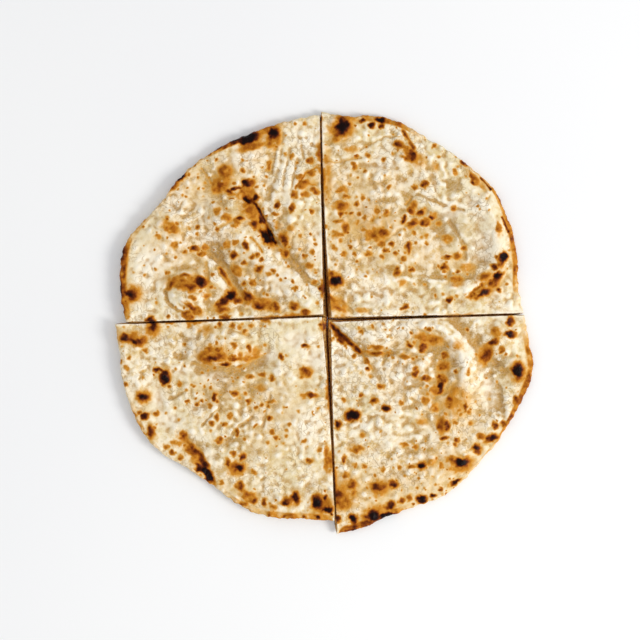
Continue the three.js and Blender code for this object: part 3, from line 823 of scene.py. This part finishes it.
def attribute(tree, name):
    return tree.node("ShaderNodeAttribute", attribute_name=name).outputs["Fac"]


def baked_group():
    """The colour of dough that has been baked to a degree, from 0 to CHARRED."""
    sockets = [
        ("INPUT", "Dough", "Color", (0.8, 0.7, 0.5, 1)), ("INPUT", "Degree", "Float", 0.0),
        ("OUTPUT", "Colour", "Color", None),
    ]
    tree, given, result = new_group("baked", "ShaderNodeTree", sockets)
    crust = tree.colours(tree.math("DIVIDE", given["Degree"], CHARRED), CRUST_COLOURS)
    tree.feed(result["Colour"], tree.mix(tree.step(given["Degree"], 0.02, 0.3), given["Dough"], crust))
    return tree.tree


def grain_group():
    """The fine grain of baked dough, as a height and as a mask of its lighter flecks."""
    sockets = [
        ("INPUT", "Place", "Vector", None), ("INPUT", "Size", "Float", 1.0),
        ("OUTPUT", "Height", "Float", None), ("OUTPUT", "Flecks", "Float", None),
    ]
    tree, given, result = new_group("grain", "ShaderNodeTree", sockets)
    fine = tree.noise(given["Place"], given["Size"], 3.0, 0.6).outputs[0]
    pores = tree.cells(given["Place"], given["Size"], "SMOOTH_F1").outputs["Distance"]
    tree.feed(result["Height"], tree.math("ADD", fine, tree.math("MULTIPLY", pores, 0.6)))
    tree.feed(result["Flecks"], tree.step(fine, 0.35, 0.65))
    return tree.tree


def new_material(name):
    material = bpy.data.materials.new(name)
    material.use_nodes = True
    tree = Tree(material.node_tree)
    shader = material.node_tree.nodes["Principled BSDF"]
    place = tree.scaled(tree.node("ShaderNodeTexCoord").outputs["Object"], 1 / MM)
    return material, tree, shader, place


def grouped(tree, group, **inputs):
    made = tree.node("ShaderNodeGroup", node_tree=group)
    for name, value in inputs.items():
        tree.feed(made.inputs[name], value)
    return made.outputs


def bumped(tree, shader, height, distance):
    inputs = {"Height": height, "Distance": distance, "Strength": 1.0}
    tree.feed(shader.inputs["Normal"], tree.node("ShaderNodeBump", inputs).outputs[0])


def freckles(tree, place, share, size, palest, darkest):
    """Round toasted freckles on a share of the cells, each to a degree of its own. The palest are rings."""
    cells = tree.cells(stirred(tree, place, 2.6, 0.9), size)
    own = tree.node("ShaderNodeSeparateXYZ", {"Vector": cells.outputs["Color"]}).outputs
    chosen = tree.math("LESS_THAN", own[0], share)
    reach = tree.step(own[1], 0.0, 1.0, 0.2, 0.54)
    out = tree.math("DIVIDE", cells.outputs["Distance"], reach)
    near = tree.total(tree.step(out, 1.0, 0.0, 0.0, 0.45), tree.step(out, 0.55, 0.0, 0.0, 0.55))
    ring = tree.math("MULTIPLY", tree.math("LESS_THAN", own[2], 0.4), tree.step(out, 0.55, 0.15, 0.0, 0.85))
    near = tree.math("MULTIPLY", near, tree.math("SUBTRACT", 1.0, ring))
    degree = tree.math("MULTIPLY", near, tree.step(own[2], 0.0, 1.0, palest, darkest))
    return tree.math("MULTIPLY", degree, chosen)


def wrinkles(tree, place):
    """Fine winding lines where the skin has dried and shrunk, in patches."""
    height = tree.noise(stirred(tree, place, 3.0, 1.0), 3.0, 1.0).outputs[0]
    line = tree.step(tree.math("ABSOLUTE", tree.math("SUBTRACT", height, 0.5)), 0.0, 0.05, 1.0, 0.0)
    return tree.math("MULTIPLY", line, tree.step(tree.noise(place, 12.0, 2.0).outputs[0], 0.4, 0.6))


def top_crust(baked, grain):
    material, tree, shader, place = new_material("top_crust")
    hollow, sunken = attribute(tree, "hollow"), attribute(tree, "sunken")
    painted_shade, floury = attribute(tree, "painted_shade"), attribute(tree, "floury")
    mottle = tree.noise(place, 4.0, 4.0, 0.65).outputs[0]
    cloud = tree.noise(place, 24.0, 2.0).outputs[0]
    fine = grouped(tree, grain, Place=place, Size=0.9)
    many = attribute(tree, "freckled")
    dough = tree.mix(tree.step(mottle, 0.36, 0.56), colour("d9b878"), colour("f4e8cd"))
    dough = tree.mix(tree.step(cloud, 0.58, 0.4, 0.0, 0.55), dough, colour("d8c794"))
    dough = tree.mix(tree.math("MULTIPLY", many, 0.42), dough, colour("dcae68"))
    # Painted shade: the shade patches, broken up by the mottle, and the sunken valleys darken the dough
    # towards olive brown.
    patchy_shade = tree.math("MULTIPLY", painted_shade, tree.step(mottle, 0.62, 0.42, 0.25, 0.9))
    depth = tree.math("MULTIPLY_ADD", sunken, tree.step(mottle, 0.6, 0.4, 0.9, 2.2), patchy_shade)
    dough = tree.mix(tree.step(depth, 0.0, 0.9, 0.0, 0.85), dough, colour("a87e2a"))
    dough = tree.mix(tree.math("MULTIPLY", floury, 0.75), dough, colour("f6edd9"))
    # Painted shade: small dents are darkened towards golden brown.
    dough = tree.mix(tree.step(hollow, 0.0, 0.13, 0.0, 0.85), dough, colour("b58638"))
    # Painted highlight: points that stand above their surroundings, the crests, are lightened to cream.
    dough = tree.mix(tree.step(hollow, 0.0, -0.16), dough, colour("f6edda"))
    line = wrinkles(tree, place)
    # Painted shade: the wrinkle lines are darkened in colour as well as grooved.
    dough = tree.mix(tree.math("MULTIPLY", line, 0.5), dough, colour("98722e"))
    dough = tree.mix(tree.math("MULTIPLY", fine["Flecks"], 0.15), dough, colour("fbf3e2"))

    rough = tree.math("MULTIPLY", tree.math("SUBTRACT", tree.noise(place, 3.0, 3.0).outputs[0], 0.5), 1.1)
    own = attribute(tree, "baked")
    own = tree.math("ADD", own, tree.math("MULTIPLY", rough, tree.step(own, 0.02, 0.6)))
    large = freckles(tree, place, tree.math("MULTIPLY_ADD", many, 0.55, 0.08), 6.8, 0.3, 0.6)
    small = freckles(tree, place, tree.math("MULTIPLY_ADD", many, 0.5, 0.12), 4.8, 0.24, 0.5)
    pale = freckles(tree, place, tree.math("MULTIPLY_ADD", many, 0.3, 0.45), 5.1, 0.14, 0.36)
    degree = tree.math("MAXIMUM", tree.math("MAXIMUM", own, pale), tree.math("MAXIMUM", large, small))
    result = grouped(tree, baked, Dough=dough, Degree=degree)
    tree.feed(shader.inputs["Base Color"], result["Colour"])
    tree.feed(shader.inputs["Roughness"], tree.step(degree, 0.3, 1.1, 0.5, 0.4))
    shader.inputs["Specular IOR Level"].default_value = 0.08
    bumped(tree, shader, tree.math("SUBTRACT", fine["Height"], line), 0.12 * MM)
    return material


def underside(baked, grain):
    """The face that lay on the hot wall: toasted in rings, with raw flour left between them."""
    material, tree, shader, place = new_material("underside")
    fine = grouped(tree, grain, Place=place, Size=0.8)
    patches = tree.noise(stirred(tree, place, 10.0, 4.0), 22.0, 4.0, 0.6).outputs[0]
    dough = tree.mix(tree.step(patches, 0.4, 0.6), colour("eadcbc"), colour("dcc590"))
    spots = tree.math(
        "MAXIMUM", freckles(tree, place, 0.35, 9.0, 0.3, 0.85), freckles(tree, place, 0.35, 5.0, 0.2, 0.6)
    )
    degree = tree.math("MAXIMUM", spots, tree.step(patches, 0.5, 0.75, 0.0, 0.6))
    result = grouped(tree, baked, Dough=dough, Degree=degree)
    dust = tree.math("MULTIPLY", tree.step(tree.noise(place, 6.0, 5.0, 0.7).outputs[0], 0.5, 0.62), 0.6)
    tree.feed(shader.inputs["Base Color"], tree.mix(dust, result["Colour"], colour("f5efe0")))
    shader.inputs["Roughness"].default_value = 0.75
    bumped(tree, shader, fine["Height"], 0.2 * MM)
    return material


def crumb(baked, grain):
    """A cut face: crumb with open pores, browner towards the two skins. The crumb is a darker golden brown
    than its own cream, partly crumb pressed by the knife and partly painted shade of the narrow gaps, and
    its pores are darker still, painted shade in the holes.
    """
    material, tree, shader, place = new_material("crumb")
    fine = grouped(tree, grain, Place=place, Size=0.6)
    pores = tree.cells(stirred(tree, place, 3.0, 0.8), 1.6).outputs["Distance"]
    hole = tree.step(pores, 0.34, 0.18)
    # Painted shade: darker golden brown for the shade of the narrow gaps, and darker still in the pores.
    dough = tree.mix(hole, colour("b98f4a"), colour("8a6226"))
    level = attribute(tree, "skin")
    top_skin = tree.step(level, 0.8, 1.0, 0.0, 0.62)
    bottom_skin = tree.step(level, 0.6, 0.0, 0.0, 0.75)
    skins = tree.math("MAXIMUM", top_skin, bottom_skin)
    result = grouped(tree, baked, Dough=dough, Degree=tree.math("MAXIMUM", skins, attribute(tree, "baked")))
    tree.feed(shader.inputs["Base Color"], result["Colour"])
    shader.inputs["Roughness"].default_value = 0.8
    height = tree.math("SUBTRACT", fine["Height"], tree.math("MULTIPLY", hole, 1.5))
    bumped(tree, shader, height, 0.3 * MM)
    return material


# The quarters


def inner_corner(name):
    """The corner of a quarter's box that is nearest the frame's origin."""
    low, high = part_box(name)
    return Vector(min((low[i], high[i]), key=abs) for i in range(2)).to_3d()


def make_quarters():
    crossing = sum((inner_corner(name) for name in QUARTERS), Vector()) / len(QUARTERS)
    baked, grain = baked_group(), grain_group()
    tree = blistered_dough([top_crust(baked, grain), underside(baked, grain), crumb(baked, grain)])
    for name in QUARTERS:
        mesh = blister(plain_quarter(name, crossing), tree)
        bake(name, mesh, crossing)
        piece = bpy.data.objects.new(name.replace("quarter", "naan"), mesh)
        bpy.context.scene.collection.objects.link(piece)
        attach(piece, "root")
        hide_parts(name)


# The studio


def floor():
    bpy.ops.mesh.primitive_plane_add(size=2.0, location=(0, 0, -0.05 * MM))
    plane = bpy.context.object
    plane.name = "floor"
    material, tree, shader, place = new_material("pale_floor")
    shade = tree.step(tree.noise(place, 300.0).outputs[0], 0.3, 0.7)
    tree.feed(shader.inputs["Base Color"], tree.mix(shade, colour("f0f1f3"), colour("f3f4f5")))
    shader.inputs["Roughness"].default_value = 0.6
    plane.data.materials.append(material)


def soft_light(name, place, size, power, tint):
    data = bpy.data.lights.new(name, "AREA")
    data.shape = "DISK"
    data.size = size
    data.energy = power
    data.color = colour(tint)[:3]
    light = bpy.data.objects.new(name, data)
    light.location = place
    light.rotation_euler = (-Vector(place)).to_track_quat("-Z", "Y").to_euler()
    bpy.context.scene.collection.objects.link(light)


def studio():
    floor()
    soft_light("window", (1.15, -0.4, 0.85), 0.6, 13.8, "fcfaf5")
    world = bpy.data.worlds.new("white_room")
    world.use_nodes = True
    background = world.node_tree.nodes["Background"]
    background.inputs["Color"].default_value = colour("fbfbfc")
    background.inputs["Strength"].default_value = 0.775
    bpy.context.scene.world = world
    bpy.context.scene.view_settings.view_transform = "Standard"


def camera():
    """Straight down, with the bread a little right of the middle and a little low."""
    view_width, height = 0.307, 0.75
    data = bpy.data.cameras.new("camera")
    data.lens = data.sensor_width * height / view_width
    made = bpy.data.objects.new("camera", data)
    made.location = (-2.2 * MM, 1.4 * MM, height)
    bpy.context.scene.collection.objects.link(made)
    bpy.context.scene.camera = made


make_quarters()
studio()
camera()
